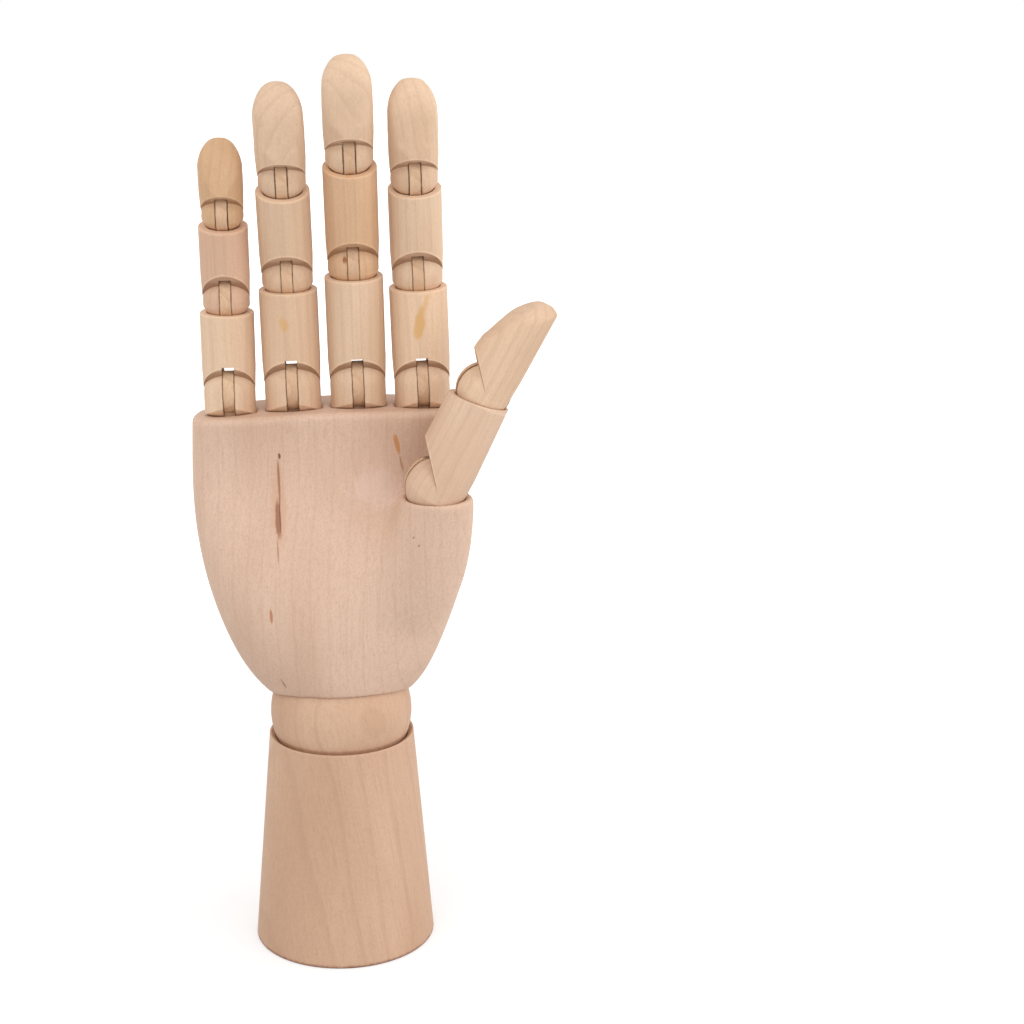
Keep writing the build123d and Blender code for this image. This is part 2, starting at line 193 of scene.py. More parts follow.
class HandSizes(bpy.types.PropertyGroup):
    """Sizes of the sanding and of the spring's wire."""
    tip_grid: bpy.props.FloatProperty(
        name="Fingertip grid", description="Mesh size of the rounded fingertips",
        default=0.3 * MM, unit="LENGTH")
    tip_rounds: bpy.props.IntProperty(
        name="Fingertip sanding", description="Rounds of smoothing on the fingertips", default=230)
    palm_grid: bpy.props.FloatProperty(
        name="Palm grid", description="Mesh size of the carved palm", default=0.45 * MM, unit="LENGTH")
    palm_rounds: bpy.props.IntProperty(
        name="Palm sanding", description="Rounds of smoothing where the thumb's root meets the palm",
        default=150)
    lip_rounds: bpy.props.IntProperty(
        name="Lip sanding", description="Rounds of smoothing on the palm's lip round the ball", default=14)
    wire: bpy.props.FloatProperty(
        name="Spring wire", description="Diameter of the spring's wire", default=1.4 * MM, unit="LENGTH")


class HandColours(bpy.types.PropertyGroup):
    """Colours of the woods and of the steel."""
    palm: bpy.props.FloatVectorProperty(
        name="Palm wood", description="Pinkish wood of the palm",
        subtype="COLOR", size=4, default=screen(217, 184, 161))
    finger: bpy.props.FloatVectorProperty(
        name="Finger wood", description="Pale cream wood of the fingers",
        subtype="COLOR", size=4, default=screen(226, 194, 164))
    strip: bpy.props.FloatVectorProperty(
        name="Tongue wood", description="Sawn strips in the joints",
        subtype="COLOR", size=4, default=screen(219, 183, 150))
    tan: bpy.props.FloatVectorProperty(
        name="Base wood", description="Tan wood of the base and ball",
        subtype="COLOR", size=4, default=screen(208, 171, 143))
    steel: bpy.props.FloatVectorProperty(
        name="Steel", description="Wire and pins", subtype="COLOR", size=4, default=screen(196, 196, 194))


class HandStage(bpy.types.PropertyGroup):
    """Camera."""
    lens: bpy.props.FloatProperty(
        name="Lens", description="Focal length in millimetres on a 36 mm sensor", default=70.95)
    eye: bpy.props.FloatVectorProperty(
        name="Camera place", description="Where the camera stands", subtype="TRANSLATION", size=3,
        default=(0.0, -0.5351, 0.2728))
    pitch: bpy.props.FloatProperty(
        name="Pitch", description="How far the camera looks down", subtype="ANGLE",
        default=math.radians(15.48))
    yaw: bpy.props.FloatProperty(
        name="Yaw", description="How far the camera looks to the right", subtype="ANGLE",
        default=math.radians(5.13))
    roll: bpy.props.FloatProperty(
        name="Roll", description="Turn of the camera about its view", subtype="ANGLE",
        default=math.radians(-0.19))


# Shader nodes

def put(tree, kind, inputs=None, **settings):
    """Adds a node, and gives its inputs values or links."""
    made = tree.nodes.new(kind)
    for name, value in settings.items():
        setattr(made, name, value)
    for name, value in (inputs or {}).items():
        if isinstance(value, bpy.types.NodeSocket):
            tree.links.new(value, made.inputs[name])
        else:
            made.inputs[name].default_value = value
    return made


def sums(tree, operation, *values):
    """Result of a Math node on values or sockets."""
    return put(tree, "ShaderNodeMath", dict(enumerate(values)), operation=operation).outputs[0]


def vectors(tree, operation, *values):
    """Result of a Vector Math node on vectors or sockets."""
    return put(tree, "ShaderNodeVectorMath", dict(enumerate(values)), operation=operation)


def spread(tree, value, low, high, to_low=0.0, to_high=1.0):
    """Value eased from the range low to high onto the range to_low to to_high."""
    return put(tree, "ShaderNodeMapRange", {
        "Value": value, "From Min": low, "From Max": high, "To Min": to_low, "To Max": to_high,
    }, interpolation_type="SMOOTHSTEP").outputs["Result"]


def blend_colours(tree, factor, first, second, how="MIX"):
    """Two colours mixed by a factor."""
    mixed = put(tree, "ShaderNodeMix", {0: factor, 6: first, 7: second}, data_type="RGBA", blend_type=how)
    return mixed.outputs[2]


def noise(tree, vector, stretch, detail=2.0, rough=0.5):
    """Noise of 0 to 1, with so many waves per millimetre along each axis."""
    scaled = vectors(tree, "MULTIPLY", vector, stretch).outputs[0]
    return put(tree, "ShaderNodeTexNoise", {
        "Vector": scaled, "Scale": 1.0, "Detail": detail, "Roughness": rough,
    }).outputs[0]


def new_group(name, inputs, outputs):
    """Empty shader node group with named sockets: its tree, its input node and its output node."""
    tree = bpy.data.node_groups.new(name, "ShaderNodeTree")
    for socket, kind, default in inputs:
        made = tree.interface.new_socket(name=socket, in_out="INPUT", socket_type=f"NodeSocket{kind}")
        if default is not None:
            made.default_value = default
    for socket in outputs:
        tree.interface.new_socket(name=socket, in_out="OUTPUT", socket_type="NodeSocketFloat")
    return tree, tree.nodes.new("NodeGroupInput"), tree.nodes.new("NodeGroupOutput")


def make_wood_figure():
    """Figure of plain-sawn wood in millimetres, with its grain along Z and growth rings round a pith line."""
    tree, given, result = new_group(
        "wood_figure",
        [("Vector", "Vector", None), ("Pith", "Vector", (0, 40, 0)),
         ("Ring Spacing", "Float", 2.4), ("Ring Wander", "Float", 6.0), ("Ring Start", "Float", 0.35)],
        ["Ring", "Fibre", "Fleck", "Speck", "Tone", "Height"])
    place = vectors(tree, "SUBTRACT", given.outputs["Vector"], given.outputs["Pith"]).outputs[0]
    flat = vectors(tree, "MULTIPLY", place, (1, 1, 0)).outputs[0]
    from_pith = vectors(tree, "LENGTH", flat).outputs["Value"]
    drift = sums(tree, "SUBTRACT", noise(tree, place, (0.03, 0.03, 0.009), 2.0), 0.5)
    radius = sums(tree, "MULTIPLY_ADD", drift, given.outputs["Ring Wander"], from_pith)
    ring = sums(tree, "FRACT", sums(tree, "DIVIDE", radius, given.outputs["Ring Spacing"]))
    late = sums(tree, "MULTIPLY", spread(tree, ring, given.outputs["Ring Start"], 0.93),
                spread(tree, ring, 1.0, 0.94))
    fibre = noise(tree, place, (1.5, 1.5, 0.045), 4.0, 0.6)
    thread = noise(tree, place, (5.0, 5.0, 0.22), 2.0, 0.6)
    fleck = spread(tree, noise(tree, place, (1.6, 1.6, 0.2), 1.0), 0.60, 0.72)
    speck = noise(tree, place, (2.6, 2.6, 1.4), 3.0, 0.7)
    tone = noise(tree, place, (0.04, 0.04, 0.014), 2.0)
    height = sums(tree, "MULTIPLY_ADD", thread, 0.6, fibre)
    height = sums(tree, "MULTIPLY_ADD", fleck, -0.5, height)
    height = sums(tree, "MULTIPLY_ADD", speck, 0.5, height)
    tree.links.new(late, result.inputs["Ring"])
    tree.links.new(fibre, result.inputs["Fibre"])
    tree.links.new(fleck, result.inputs["Fleck"])
    tree.links.new(speck, result.inputs["Speck"])
    tree.links.new(tone, result.inputs["Tone"])
    tree.links.new(height, result.inputs["Height"])
    return tree


def make_stain_and_highlight_patch():
    """Mask of a long ragged mark, such as a bark streak or a mineral stain in the wood, or a painted
    highlight.
    """
    tree, given, result = new_group(
        "stain_and_highlight_patch",
        [("Vector", "Vector", None), ("Centre", "Vector", (0, 0, 0)), ("Half Size", "Vector", (1, 5, 5)),
         ("Slant", "Float", 0.0), ("Ragged", "Float", 0.6)],
        ["Mask"])
    away = vectors(tree, "SUBTRACT", given.outputs["Vector"], given.outputs["Centre"]).outputs[0]
    turned = put(tree, "ShaderNodeVectorRotate", {
        "Vector": away, "Angle": given.outputs["Slant"], "Axis": (0, 1, 0)}, rotation_type="AXIS_ANGLE")
    scaled = vectors(tree, "DIVIDE", turned.outputs[0], given.outputs["Half Size"]).outputs[0]
    reach = vectors(tree, "LENGTH", scaled).outputs["Value"]
    torn = sums(tree, "SUBTRACT", noise(tree, given.outputs["Vector"], (1.1, 1.1, 0.22), 4.0, 0.65), 0.5)
    edge = sums(tree, "MULTIPLY_ADD", torn, given.outputs["Ragged"], reach)
    tree.links.new(spread(tree, edge, 1.0, 0.55), result.inputs["Mask"])
    return tree


def make_painted_rim_band():
    """Mask of a painted band round a rim at a level along Z, for a painted highlight or a painted shadow
    line.
    """
    tree, given, result = new_group(
        "painted_rim_band",
        [("Vector", "Vector", None), ("Level", "Float", 20.0), ("Width", "Float", 0.7)],
        ["Mask"])
    split = put(tree, "ShaderNodeSeparateXYZ", {0: given.outputs["Vector"]})
    torn = sums(tree, "SUBTRACT", noise(tree, given.outputs["Vector"], (1.2, 1.2, 0.5), 3.0), 0.5)
    depth = sums(tree, "SUBTRACT", given.outputs["Level"], split.outputs["Z"])
    depth = sums(tree, "ABSOLUTE", depth)
    depth = sums(tree, "ADD", depth, torn)
    tree.links.new(spread(tree, depth, given.outputs["Width"], 0.0), result.inputs["Mask"])
    return tree


def make_kerf_shade():
    """Masks of painted shade in a slot, on its walls and ragged lips: Inside, all within a half width of the
    bone's middle, and Outside, all beyond it.
    """
    tree, given, result = new_group(
        "kerf_shade",
        [("Vector", "Vector", None), ("Half Width", "Float", 1.7), ("Top", "Float", 9.0)],
        ["Inside", "Outside"])
    split = put(tree, "ShaderNodeSeparateXYZ", {0: given.outputs["Vector"]})
    torn = sums(tree, "SUBTRACT", noise(tree, given.outputs["Vector"], (0.9, 0.9, 0.5), 3.0), 0.5)
    aside = sums(tree, "MULTIPLY_ADD", torn, 0.35, sums(tree, "ABSOLUTE", split.outputs["X"]))
    aside = sums(tree, "SUBTRACT", aside, given.outputs["Half Width"])
    below = spread(tree, sums(tree, "SUBTRACT", split.outputs["Z"], given.outputs["Top"]), 0.2, -0.2)
    patchy = spread(tree, noise(tree, given.outputs["Vector"], (0.5, 0.5, 0.35), 3.0), 0.35, 0.6, 0.45, 1.0)
    inside = sums(tree, "MULTIPLY", spread(tree, aside, 0.06, -0.06), below)
    inside = sums(tree, "MULTIPLY", inside, patchy)
    tree.links.new(inside, result.inputs["Inside"])
    tree.links.new(spread(tree, aside, -0.06, 0.06), result.inputs["Outside"])
    return tree


def make_notch_shade_and_highlight():
    """Masks of a closing notch, which passes through its bone's hinge: painted shade on its cut face, darkest
    next to the knuckle, and a painted highlight on its lip.
    """
    tree, given, result = new_group(
        "notch_shade_and_highlight",
        [("Vector", "Vector", None), ("Angle", "Float", 0.7), ("Thickness", "Float", 0.12),
         ("Reach", "Float", 7.0)],
        ["Mask", "Lip"])
    split = put(tree, "ShaderNodeSeparateXYZ", {0: given.outputs["Vector"]})
    rise = sums(tree, "MULTIPLY", split.outputs["Z"], sums(tree, "SINE", given.outputs["Angle"]))
    off = sums(tree, "MULTIPLY_ADD", split.outputs["Y"], sums(tree, "COSINE", given.outputs["Angle"]), rise)
    near = spread(tree, sums(tree, "ABSOLUTE", off), given.outputs["Thickness"], 0.04)
    ahead = spread(tree, split.outputs["Y"], -0.5, -1.5)
    flat = vectors(tree, "MULTIPLY", given.outputs["Vector"], (0, 1, 1)).outputs[0]
    away = sums(tree, "DIVIDE", vectors(tree, "LENGTH", flat).outputs["Value"], given.outputs["Reach"])
    deep = spread(tree, away, 1.45, 1.0, 0.45, 1.0)
    near = sums(tree, "MULTIPLY", near, ahead)
    tree.links.new(sums(tree, "MULTIPLY", near, deep), result.inputs["Mask"])
    # A painted highlight along the notch's lip
    torn = sums(tree, "SUBTRACT", noise(tree, given.outputs["Vector"], (1.2, 1.2, 0.8), 3.0), 0.5)
    lip = spread(tree, sums(tree, "ADD", off, torn), 0.55, 0.15)
    lip = sums(tree, "MULTIPLY", lip, spread(tree, off, 0.08, 0.14))
    tree.links.new(sums(tree, "MULTIPLY", lip, ahead), result.inputs["Lip"])
    return tree


def make_drawn_steel():
    """Fine lines and dull patches of drawn steel wire, in millimetres."""
    tree, given, result = new_group("drawn_steel", [("Vector", "Vector", None)], ["Line", "Patch"])
    tree.links.new(noise(tree, given.outputs["Vector"], (0.6, 9.0, 9.0), 3.0), result.inputs["Line"])
    tree.links.new(noise(tree, given.outputs["Vector"], (0.5, 0.5, 0.5), 3.0), result.inputs["Patch"])
    return tree


def group_node(tree, group, **inputs):
    """Places a node group in a material. An underscore in an input's name stands for a space."""
    made = put(tree, "ShaderNodeGroup", node_tree=bpy.data.node_groups[group])
    for name, value in inputs.items():
        socket = made.inputs[name.replace("_", " ")]
        if isinstance(value, bpy.types.NodeSocket):
            tree.links.new(value, socket)
        else:
            socket.default_value = value
    return made


def new_material(name):
    """Material with its shader, and the place on the piece in the row frame, in metres."""
    made = bpy.data.materials.new(name)
    made.use_nodes = True
    shader = made.node_tree.nodes["Principled BSDF"]
    place = made.node_tree.nodes.new("ShaderNodeTexCoord").outputs["Object"]
    return made, made.node_tree, shader, place


def in_millimetres(tree, place, piece_frame):
    """Place on the piece in millimetres, in the frame of its own grain."""
    return put(tree, "ShaderNodeMapping", {
        "Vector": place, "Location": piece_frame.to_translation(),
        "Rotation": piece_frame.to_euler("XYZ"), "Scale": (MM, MM, MM),
    }, vector_type="TEXTURE").outputs[0]


def darker(colour, share, warm=0.0):
    """Colour taken down by a share, and pulled to red-brown by warm."""
    red, green, blue = colour[0] * share, colour[1] * share, colour[2] * share
    return (red, green * (1 - warm), blue * (1 - 1.6 * warm), 1.0)


def shaded(tree, base, mask, strength, colour):
    """Base colour covered with another by a mask and a strength."""
    return blend_colours(tree, sums(tree, "MULTIPLY", mask, strength), base, colour)


def wood(name, colour, piece_frame, pith, ring_spacing, wander, ring_start, ring_depth, fibre_depth,
         fleck_depth, speck_depth, marks=(), rims=(), upright=False, notch=None, half_pin=None, tongue=None):
    """Sanded wood with its grain along the piece.

    A mark is (centre, half size, slant, ragged, colour, strength), a stain or a painted highlight. A rim is a
    band of painted highlight or painted shade, (level, width, colour, strength), and its level is along the
    grain, or above the floor where upright is set.
    notch is the angle of a bone's closing notch, whose cut face and slot walls get painted shade and whose
    lip a painted highlight; half_pin is half the length of its pin, and tongue half the width of a strip,
    whose edges get painted shade.
    """
    made, tree, shader, place = new_material(name)
    grain_place = in_millimetres(tree, place, piece_frame)
    figure = group_node(tree, "wood_figure", Vector=grain_place, Pith=pith, Ring_Spacing=ring_spacing,
                        Ring_Wander=wander, Ring_Start=ring_start)
    pale = darker(colour, 1.05, -0.015)
    deep = darker(colour, 0.93, 0.035)
    base = blend_colours(tree, spread(tree, figure.outputs["Tone"], 0.32, 0.68), pale, deep)
    base = shaded(tree, base, figure.outputs["Ring"], ring_depth, darker(colour, 0.68, 0.12))
    streak = spread(tree, figure.outputs["Fibre"], 0.40, 0.70)
    base = shaded(tree, base, streak, fibre_depth, darker(colour, 0.74, 0.07))
    base = shaded(tree, base, figure.outputs["Fleck"], fleck_depth, darker(colour, 0.62, 0.10))
    base = shaded(tree, base, spread(tree, figure.outputs["Speck"], 0.42, 0.72), speck_depth,
                  darker(colour, 0.70, 0.06))
    row_place = in_millimetres(tree, place, PLAIN_FRAME)
    for centre, half_size, slant, ragged, mark_colour, strength in marks:
        patch = group_node(tree, "stain_and_highlight_patch", Vector=row_place, Centre=centre, Half_Size=half_size,
                           Slant=slant, Ragged=ragged)
        base = shaded(tree, base, patch.outputs["Mask"], strength, mark_colour)
    # Bands of painted highlight or painted shade at rims
    for level, width, rim_colour, strength in rims:
        painted_band = group_node(tree, "painted_rim_band", Vector=row_place if upright else grain_place,
                          Level=level, Width=width)
        base = shaded(tree, base, painted_band.outputs["Mask"], strength, rim_colour)
    # Dark red-brown for painted shade in the slots and along the strips' edges
    slot_shade = darker(colour, 0.30, 0.30)
    if notch is not None:
        cut = group_node(tree, "notch_shade_and_highlight", Vector=grain_place, Angle=math.radians(notch),
                         Reach=half_pin + PIN_SHORT)
        # A painted highlight along the notch's lip, and painted shade on its cut face
        base = shaded(tree, base, cut.outputs["Lip"], 0.55, darker(colour, 1.14, -0.02))
        base = shaded(tree, base, cut.outputs["Mask"], 0.8, darker(colour, 0.42, 0.30))
        # Painted shade on the slot's walls
        kerf = group_node(tree, "kerf_shade", Vector=grain_place, Half_Width=HALF_TONGUE + 0.2,
                          Top=half_pin + SLOT_ABOVE_PIN)
        base = shaded(tree, base, kerf.outputs["Inside"], 0.85, slot_shade)
    if tongue is not None:
        # Painted shade along the strip's edges beside its slot
        kerf = group_node(tree, "kerf_shade", Vector=grain_place, Half_Width=tongue - 0.13)
        base = shaded(tree, base, kerf.outputs["Outside"], 0.85, slot_shade)
    tree.links.new(base, shader.inputs["Base Color"])
    rough = spread(tree, figure.outputs["Fibre"], 0.2, 0.8, 0.52, 0.70)
    tree.links.new(rough, shader.inputs["Roughness"])
    shader.inputs["Specular IOR Level"].default_value = 0.32
    raised = put(tree, "ShaderNodeBump", {
        "Height": figure.outputs["Height"], "Strength": 0.35, "Distance": 0.12 * MM})
    tree.links.new(raised.outputs["Normal"], shader.inputs["Normal"])
    return made


def steel(name, colour):
    """Drawn steel wire."""
    made, tree, shader, place = new_material(name)
    figure = group_node(tree, "drawn_steel", Vector=in_millimetres(tree, place, PLAIN_FRAME))
    base = blend_colours(tree, figure.outputs["Patch"], colour, darker(colour, 0.72))
    tree.links.new(base, shader.inputs["Base Color"])
    tree.links.new(spread(tree, figure.outputs["Line"], 0.2, 0.8, 0.24, 0.46), shader.inputs["Roughness"])
    shader.inputs["Metallic"].default_value = 1.0
    raised = put(tree, "ShaderNodeBump", {
        "Height": figure.outputs["Line"], "Strength": 0.2, "Distance": 0.03 * MM})
    tree.links.new(raised.outputs["Normal"], shader.inputs["Normal"])
    return made


def dress(piece, material):
    """Gives a piece one material."""
    piece.data.materials.clear()
    piece.data.materials.append(material)


# Mesh work

def ease(values, low, high):
    """Smooth step of an array from 0 at low to 1 at high."""
    share = np.clip((values - low) / (high - low), 0, 1)
    return share * share * (3 - 2 * share)


def points_of(mesh):
    """Vertices of a mesh as an array, in metres."""
    flat = np.empty(len(mesh.vertices) * 3)
    mesh.vertices.foreach_get("co", flat)
    return flat.reshape(-1, 3)


def even_copy(node, name, grid):
    """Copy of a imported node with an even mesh, ready to be sanded."""
    draft = bpy.data.objects.new(name, frame["nodes"][node].data.copy())
    bpy.context.scene.collection.objects.link(draft)
    remesh = draft.modifiers.new("even mesh", "REMESH")
    remesh.mode = "VOXEL"
    remesh.voxel_size = grid
    bpy.context.view_layer.update()
    graph = bpy.context.evaluated_depsgraph_get()
    mesh = bpy.data.meshes.new_from_object(draft.evaluated_get(graph))
    draft.modifiers.clear()
    old = draft.data
    draft.data = mesh
    bpy.data.meshes.remove(old)
    mesh.name = name
    mesh.shade_smooth()
    return draft


def sand(mesh, points, weights, rounds, outward=None):
    """Smooths points towards their neighbours, by each one's weight.

    With outward, the normals of the surface, hollows fill up and nothing is taken off.
    """
    ends = np.empty(len(mesh.edges) * 2, dtype=np.int64)
    mesh.edges.foreach_get("vertices", ends)
    first, second = ends.reshape(-1, 2).T
    moved = weights > 0
    near = moved[first] | moved[second]
    used, index = np.unique(np.concatenate((first[near], second[near])), return_inverse=True)
    first, second = index[:near.sum()], index[near.sum():]
    count = len(used)
    around = np.bincount(first, minlength=count) + np.bincount(second, minlength=count)
    share = (0.5 * weights[used] / around)[:, None]
    part = points[used]
    for _ in range(rounds):
        total = np.empty_like(part)
        for k in range(3):
            total[:, k] = (np.bincount(first, part[second, k], count)
                           + np.bincount(second, part[first, k], count))
        step = share * (total - around[:, None] * part)
        if outward is not None:
            step *= ((step * outward[used]).sum(axis=1) > 0)[:, None]
        part = part + step
    points = points.copy()
    points[used] = part
    return points


def normals_of(mesh, points):
    """Normals of the surface through the points."""
    mesh.vertices.foreach_set("co", points.ravel())
    mesh.update()
    flat = np.empty(len(mesh.vertices) * 3)
    mesh.vertex_normals.foreach_get("vector", flat)
    return flat.reshape(-1, 3)


def keep(piece, points, body, node):
    """Writes the points back, and puts the piece in the place of its node."""
    piece.data.vertices.foreach_set("co", points.ravel())
    piece.data.update()
    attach(piece, body)
    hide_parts(node)


def in_frame(points, piece_frame):
    """Points in the frame of a bone, in millimetres."""
    turned = np.array(piece_frame.to_3x3())
    return (points - np.array(piece_frame.to_translation())) @ turned / MM


def round_tip(mesh, points, bone_frame, rounds, slot_top, pad=None):
    """Sands a fingertip above its notch, and gives it back the width and height that the sanding takes.

    The walls of its slot are set straight, up to slot_top. pad is the share of its depth that is shaved
    off the pad, at levels above the hinge. Such a tip keeps its back crisp.
    """
    foot = TIP_FOOT if pad is None else THUMB_TIP_FOOT
    local = in_frame(points, bone_frame)
    if pad is not None:
        back = local[:, 1].max()
        shave = np.interp(local[:, 2], *zip(*pad))
        local[:, 1] = back - (back - local[:, 1]) * (1 - shave)
    height = local[:, 2].max()
    weights = ease(local[:, 2], foot, foot + TIP_EASE)
    if pad is not None:
        weights *= 1 - CRISP_SHARE * ease(local[:, 1], *CRISP_BACK)
    low, high = TIP_BELT
    belt = (local[:, 2] > foot + low) & (local[:, 2] < foot + high)
    width = np.ptp(local[belt, 0])
    local = sand(mesh, local, weights, rounds)
    local[:, 0] *= 1 + (width / np.ptp(local[belt, 0]) - 1) * ease(local[:, 2], foot, foot + low)
    stretch = (height - foot) / (local[:, 2].max() - foot)
    local[:, 2] = np.where(local[:, 2] > foot, foot + (local[:, 2] - foot) * stretch, local[:, 2])
    aside = np.abs(local[:, 0])
    wall = (aside > HALF_TONGUE - WALL_REACH) & (aside < HALF_SLOT) & (local[:, 2] < slot_top - WALL_TOP)
    local[wall, 0] = np.sign(local[wall, 0]) * HALF_SLOT
    turned = np.array(bone_frame.to_3x3())
    return local @ turned.T * MM + np.array(bone_frame.to_translation())


def tube(name, path, radius, sides=10):
    """Round wire along a path of points."""
    path = [Vector(point) for point in path]
    vertices, faces = [], []
    previous = None
    for i, point in enumerate(path):
        ahead = (path[min(i + 1, len(path) - 1)] - path[max(i - 1, 0)]).normalized()
        if previous is None:
            side = ahead.orthogonal().normalized()
        else:
            side = (previous - ahead * previous.dot(ahead)).normalized()
        previous = side
        other = ahead.cross(side)
        for k in range(sides):
            angle = 2 * math.pi * k / sides
            vertices.append(point + radius * (math.cos(angle) * side + math.sin(angle) * other))
    for i in range(len(path) - 1):
        for k in range(sides):
            a, b = i * sides + k, i * sides + (k + 1) % sides
            faces.append((a, b, b + sides, a + sides))
    faces.append(tuple(reversed(range(sides))))
    last = (len(path) - 1) * sides
    faces.append(tuple(range(last, last + sides)))
    mesh = bpy.data.meshes.new(name)
    mesh.from_pydata(vertices, [], faces)
    mesh.update()
    mesh.shade_smooth()
    piece = bpy.data.objects.new(name, mesh)
    bpy.context.scene.collection.objects.link(piece)
    return piece


# Marks in the wood, and a painted highlight on the palm, in millimetres in the row frame

BARK = screen(104, 68, 46)
RED_BARK = screen(146, 94, 66)
RESIN = screen(196, 128, 66)
AMBER = screen(214, 165, 98)
KNOT = screen(150, 92, 40)

PALM_MARKS = [
    ((-15.6, -13, 131.0), (2.6, 9, 15.0), 0.02, 1.2, screen(204, 156, 126), 0.45),
    ((-15.1, -10, 143.4), (0.45, 9, 1.0), 0.1, 0.4, BARK, 0.9),
    ((-15.4, -11, 136.5), (0.42, 9, 7.5), 0.03, 0.5, RED_BARK, 0.75),
    ((-15.8, -13, 126.8), (0.95, 9, 6.4), 0.03, 0.9, RED_BARK, 0.8),
    ((-15.3, -13, 127.5), (0.22, 9, 6.5), 0.03, 0.5, BARK, 0.6),
    ((-16.0, -16, 118.6), (0.32, 9, 3.6), 0.05, 0.6, screen(160, 110, 80), 0.5),
    ((-18.2, -20, 101.5), (0.5, 9, 2.4), 0.05, 0.6, screen(176, 112, 74), 0.8),
    ((-15.5, -20, 80.8), (0.5, 9, 2.8), 0.45, 0.6, screen(134, 94, 70), 0.75),
    ((16.2, -10, 146.2), (0.85, 9, 3.4), 0.22, 0.7, RESIN, 0.8),
    ((17.4, -10, 140.6), (0.4, 9, 2.6), 0.2, 0.7, screen(158, 100, 58), 0.55),
    # A painted highlight on the palm's shoulder beside the thumb, where the surface faces up to the light
    ((10.5, -12, 134.5), (9.0, 9, 6.0), 0.0, 1.9, screen(232, 204, 192), 0.3),
    ((19.8, -22, 124.9), (0.4, 9, 0.7), -0.4, 0.4, BARK, 0.6),
    ((21.1, -22, 122.7), (0.35, 9, 0.6), -0.4, 0.4, BARK, 0.6),
]
BONE_MARKS = {
    "ring_finger_proximal": [((-13.0, -8, 178.5), (1.5, 6, 2.4), 0.2, 1.0, AMBER, 0.55)],
    "index_finger_proximal": [
        ((22.6, -8, 178.4), (1.7, 6, 6.0), -0.14, 0.9, AMBER, 0.75),
        ((24.4, -8, 184.5), (1.0, 6, 3.6), -0.3, 1.0, AMBER, 0.4)],
    "middle_finger_middle": [
        ((3.3, -13, 195.7), (1.2, 6, 1.5), 0.0, 0.8, KNOT, 0.9),
        ((4.4, -20, 218.5), (0.9, 8, 0.8), 0.0, 0.8, RESIN, 0.6)],
}
# Bones cut from darker or warmer wood than the rest
BONE_TINTS = {
    "ring_finger_distal": screen(220, 189, 161),
    "thumb_proximal": screen(220, 189, 163),
    "thumb_distal": screen(220, 187, 157),
    "little_finger_distal": screen(217, 178, 139),
    "little_finger_middle": screen(219, 183, 156),
    "middle_finger_middle": screen(222, 184, 148),
}


# Pieces

def settings(context):
    """Sizes, colours and stage of the hand."""
    scene = context.scene
    return scene.hand_sizes, scene.hand_colours, scene.hand_stage


class HAND_OT_groups(bpy.types.Operator):
    """Builds the shader node groups that the materials share."""
    bl_idname = "hand.groups"
    bl_label = "Make Shader Groups"

    def execute(self, context):
        make_wood_figure()
        make_stain_and_highlight_patch()
        make_painted_rim_band()
        make_kerf_shade()
        make_notch_shade_and_highlight()
        make_drawn_steel()
        return {"FINISHED"}


class HAND_OT_base(bpy.types.Operator):
    """Finishes the turned base and the wrist ball in tan wood."""
    bl_idname = "hand.base"
    bl_label = "Base and Ball"

    def execute(self, context):
        colours = settings(context)[1]
        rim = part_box("base")[1].z / MM
        slanted = Matrix.Rotation(math.radians(BASE_SLANT), 4, "Y")
        dress(frame["nodes"]["base"], wood(
            "base_wood", colours.tan, slanted, pith=(-160, -70, 0), ring_spacing=9.0, wander=12.0,
            ring_start=0.72, ring_depth=0.20, fibre_depth=0.22, fleck_depth=0.14, speck_depth=0.42,
            # A painted highlight along the top rim's edge, and a painted contact shadow along the foot
            rims=[(rim, 0.6, darker(colours.tan, 1.12, -0.02), 0.5),
                  (0.0, 1.3, screen(122, 62, 46), 0.85)], upright=True))
        tilted = Matrix.Rotation(math.radians(BALL_SLANT), 4, "Y")
        dress(frame["nodes"]["wrist_ball"], wood(
            "ball_wood", colours.tan, tilted, pith=(70, -120, 0), ring_spacing=6.0, wander=9.0,
            ring_start=0.7, ring_depth=0.20, fibre_depth=0.22, fleck_depth=0.12, speck_depth=0.34,
            # A painted shadow line round the ball just above the base's rim
            rims=[(rim + 0.15, 1.0, screen(124, 78, 52), 0.4)], upright=True))
        return {"FINISHED"}


class HAND_OT_palm(bpy.types.Operator):
    """Carves the palm, with the thumb's root blended into it."""
    bl_idname = "hand.palm"
    bl_label = "Palm"

    def execute(self, context):
        sizes, colours, _ = settings(context)
        piece = even_copy("palm", "palm_carved", sizes.palm_grid)
        points = points_of(piece.data)
        hinge = np.array(JOINTS["thumb_base_hinge"]["pos_m"])
        away = np.linalg.norm(points - hinge, axis=1) / MM
        weights = ease(away, *ROOT_NEAR) * ease(away, *ROOT_FAR)
        weights *= ease(points[:, 2] / MM, *ROOT_TOP) * ease(points[:, 1] / MM, *ROOT_BACK)
        for _ in range(ROOT_PASSES):
            outward = normals_of(piece.data, points)
            points = sand(piece.data, points, weights, sizes.palm_rounds, outward)
        points = sand(piece.data, points, weights, sizes.palm_rounds // 3)
        middle = np.array(JOINTS["wrist_bend"]["pos_m"])
        low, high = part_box("wrist_ball")
        from_ball = np.linalg.norm(points - middle, axis=1) / MM - (high.x - low.x) / 2 / MM
        lip = ease(from_ball, *LIP_REACH) * ease((points[:, 2] - middle[2]) / MM, *LIP_TOP)
        points = sand(piece.data, points, lip, sizes.lip_rounds)
        dress(piece, wood(
            "palm_wood", colours.palm, PLAIN_FRAME, pith=(-240, 40, 0), ring_spacing=4.3, wander=7.0,
            ring_start=0.78, ring_depth=0.15, fibre_depth=0.22, fleck_depth=0.14, speck_depth=0.42,
            marks=PALM_MARKS))
        keep(piece, points, "hand", "palm")
        return {"FINISHED"}


